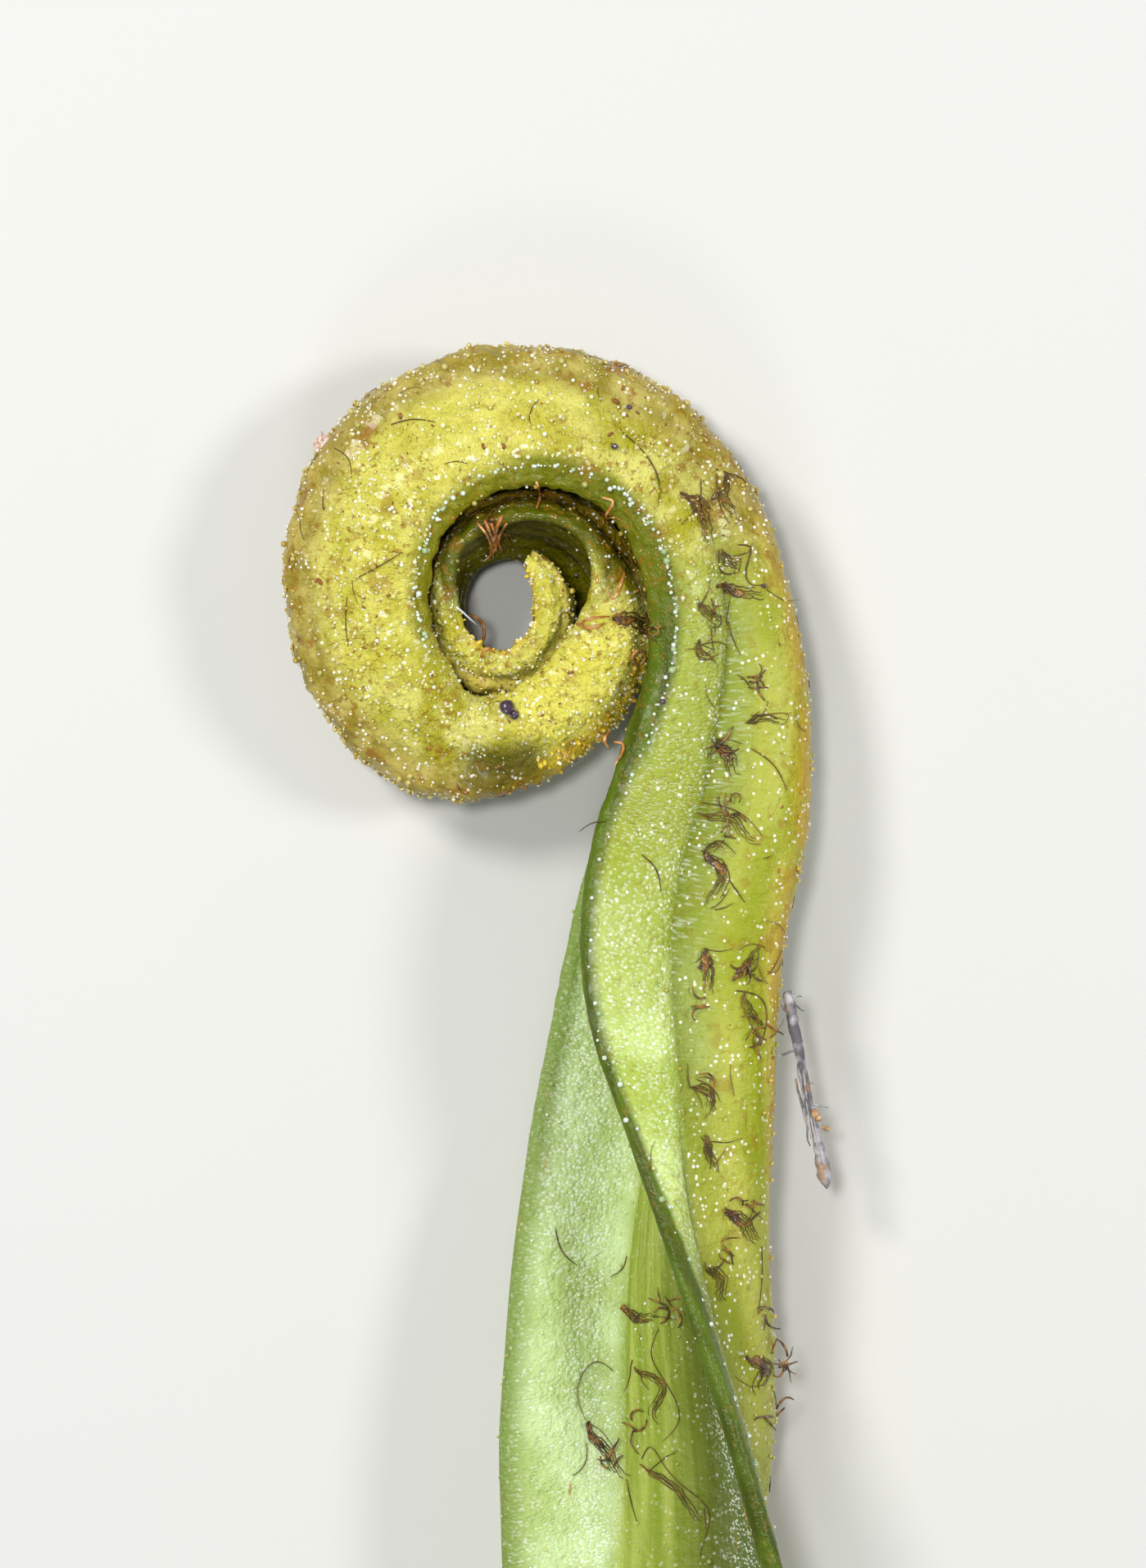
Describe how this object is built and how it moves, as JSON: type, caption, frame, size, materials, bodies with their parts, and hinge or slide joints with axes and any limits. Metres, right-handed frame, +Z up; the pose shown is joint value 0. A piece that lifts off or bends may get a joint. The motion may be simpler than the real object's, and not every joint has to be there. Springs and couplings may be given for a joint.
{
  "type": "fern frond",
  "caption": "Young strap-shaped fern frond lying flat, its tip coiled inwards, one blade half folded over a thick midrib that carries thin brown scales.",
  "frame": {"origin": "under the middle of the bounding box, on the surface that the frond lies on", "axes": "+Y from the cut stalk to the coil, +X to the outer side of the midrib beside the blade, +Z up from the surface"},
  "size_m": [0.012, 0.0432, 0.0057],
  "materials": {
    "frond_tissue": "living fern tissue: yellow-green on the coil to mid green on the blade, moist and semi-gloss, set with glistening gland heads",
    "scale_tissue": "dry papery brown scale with a darker lattice of cell walls and hair-like tips",
    "splinter_fibre": "weathered grey plant fibre with tan nodes, dull",
    "grain_crust": "pale pink crumbly grain, matt",
    "bead_gloss": "purple-black glossy bead, the look of a dried resin drop or an insect egg"
  },
  "bodies": {
    "root": {"frond": "frond_tissue", "scale_01": "scale_tissue", "scale_02": "scale_tissue", "scale_03": "scale_tissue", "scale_04": "scale_tissue", "scale_05": "scale_tissue", "scale_06": "scale_tissue", "scale_07": "scale_tissue", "scale_08": "scale_tissue", "scale_09": "scale_tissue", "scale_10": "scale_tissue", "scale_11": "scale_tissue", "scale_12": "scale_tissue", "scale_13": "scale_tissue", "scale_14": "scale_tissue", "scale_15": "scale_tissue", "scale_16": "scale_tissue", "scale_17": "scale_tissue", "scale_18": "scale_tissue", "scale_19": "scale_tissue", "scale_20": "scale_tissue", "scale_21": "scale_tissue", "scale_22": "scale_tissue", "scale_23": "scale_tissue", "scale_24": "scale_tissue", "splinter": "splinter_fibre", "pink_grain": "grain_crust", "dark_bead": "bead_gloss"}
  },
  "joints": []
}
